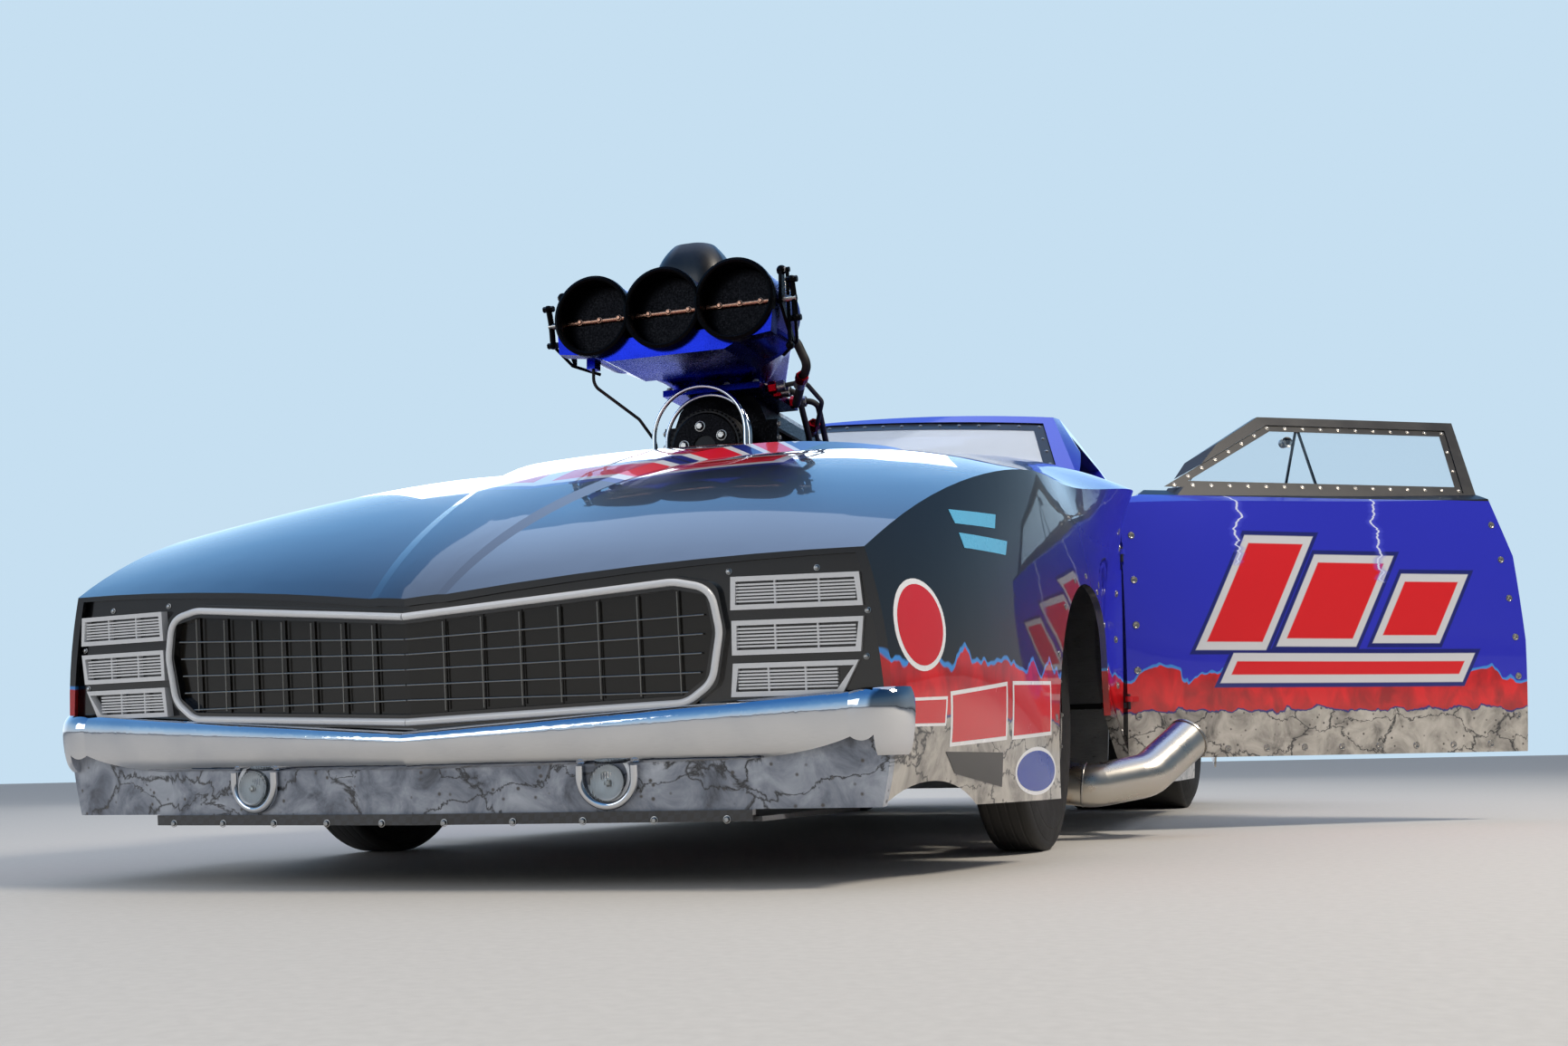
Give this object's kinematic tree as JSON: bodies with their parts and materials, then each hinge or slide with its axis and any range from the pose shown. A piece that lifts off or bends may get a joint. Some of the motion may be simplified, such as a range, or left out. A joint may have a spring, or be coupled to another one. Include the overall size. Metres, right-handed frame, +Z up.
{
  "type": "supercharged drag racing coupe",
  "caption": "Door-slammer drag racing coupe with open blown engine, removable nose, wide rear slicks, wheelie bars and its driver door standing open.",
  "frame": {"origin": "on the ground under the middle of the footprint, measured with the driver's door open", "axes": "+Z up, +Y towards the car's tail, +X towards the driver's (left) side"},
  "size_m": [3.0829, 5.9262, 1.476],
  "materials": {
    "paint_navy": "gloss metallic navy",
    "paint_blue": "gloss royal blue",
    "paint_grey": "mottled grey, gloss",
    "black_plastic": "gloss black",
    "carbon": "woven carbon, clear coated",
    "polished": "polished",
    "smoked_panel": "smoked",
    "chrome": "polished",
    "clear_lens": "clear",
    "cast_metal": "cast",
    "black_metal": "black anodised",
    "black_rubber": "matt",
    "anodised_blue": "blue anodised",
    "bright_steel": "brushed",
    "stainless": "heat tinted",
    "clear_sheet": "clear sheet",
    "red_lens": "red",
    "black_fabric": "woven",
    "frame_paint": "satin black",
    "sheet_metal": "satin",
    "tyre": "matt"
  },
  "bodies": {
    "car": {"front_clip": "paint_navy", "nose_panel": "black_plastic", "front_valance": "paint_grey", "splitter": "carbon", "grille_ring": "polished", "grille_panel": "smoked_panel", "headlight_covers": "polished", "front_bumper": "chrome", "turn_signal_rings": "chrome", "turn_signal_lenses": "clear_lens", "hood_hoops": "chrome", "engine_block": "cast_metal", "blower": "black_metal", "belt_drive": "black_rubber", "injector_hat": "anodised_blue", "injector_cover": "black_plastic", "throttle_linkage": "bright_steel", "fuel_hoses": "black_rubber", "exhaust_headers": "stainless", "body_shell": "paint_blue", "deck_lid": "paint_blue", "windshield": "clear_sheet", "rear_windows": "clear_sheet", "wheel_tubs": "sheet_metal", "rear_spoiler": "paint_blue", "tail_lamps": "red_lens", "rear_bumper": "chrome", "parachutes": "black_fabric", "chassis_frame": "frame_paint", "floor_and_firewall": "sheet_metal", "seat": "black_plastic", "dashboard": "carbon", "front_suspension": "frame_paint", "rear_axle": "black_metal", "driveline": "cast_metal", "wheelie_bars": "frame_paint"},
    "steering_wheel": {"steering_wheel": "black_metal"},
    "driver_door": {"driver_door": "paint_blue", "driver_door_frame": "black_metal", "driver_door_window": "clear_sheet"},
    "passenger_door": {"passenger_door": "paint_blue", "passenger_door_frame": "black_metal", "passenger_door_window": "clear_sheet"},
    "knuckle_left": {"knuckle_left": "black_metal"},
    "knuckle_right": {"knuckle_right": "black_metal"},
    "front_wheel_left": {"front_tyre_left": "tyre", "front_rim_left": "polished"},
    "front_wheel_right": {"front_tyre_right": "tyre", "front_rim_right": "polished"},
    "rear_wheels": {"rear_tyre_left": "tyre", "rear_rim_left": "polished", "rear_tyre_right": "tyre", "rear_rim_right": "polished"},
    "wheelie_wheels": {"wheelie_wheels": "black_rubber"}
  },
  "joints": [
    {"name": "steer_left", "type": "hinge", "parent": "car", "child": "knuckle_left", "pos_m": [0.25, -1.779, 0.33], "axis": [0, 0, 1], "range_deg": [-20, 20]},
    {"name": "steer_right", "type": "hinge", "parent": "car", "child": "knuckle_right", "pos_m": [-1.07, -1.779, 0.33], "axis": [0, 0, 1], "range_deg": [-20, 20]},
    {"name": "steering_wheel_turn", "type": "hinge", "parent": "car", "child": "steering_wheel", "pos_m": [-0.05, -0.349, 0.8], "axis": [0, 0.9397, 0.3419], "range_deg": [-200, 200]},
    {"name": "front_wheel_left_spin", "type": "hinge", "parent": "knuckle_left", "child": "front_wheel_left", "pos_m": [0.387, -1.779, 0.33], "axis": [1, 0, 0], "continuous": true},
    {"name": "front_wheel_right_spin", "type": "hinge", "parent": "knuckle_right", "child": "front_wheel_right", "pos_m": [-1.207, -1.779, 0.33], "axis": [1, 0, 0], "continuous": true},
    {"name": "rear_wheels_spin", "type": "hinge", "parent": "car", "child": "rear_wheels", "pos_m": [-0.41, 1.141, 0.438], "axis": [1, 0, 0], "continuous": true},
    {"name": "driver_door_hinge", "type": "hinge", "parent": "car", "child": "driver_door", "pos_m": [0.514, -0.971, 0.5], "axis": [0, 0, 1], "range_deg": [-4, 56]},
    {"name": "passenger_door_hinge", "type": "hinge", "parent": "car", "child": "passenger_door", "pos_m": [-1.334, -0.971, 0.5], "axis": [0, 0, 1], "range_deg": [0, 60]},
    {"name": "wheelie_wheels_spin", "type": "hinge", "parent": "car", "child": "wheelie_wheels", "pos_m": [-0.41, 2.901, 0.112], "axis": [1, 0, 0], "continuous": true}
  ],
  "couplings": [
    {"joint": "steer_right", "follows": "steer_left", "ratio": 1},
    {"joint": "steering_wheel_turn", "follows": "steer_left", "ratio": 10}
  ]
}
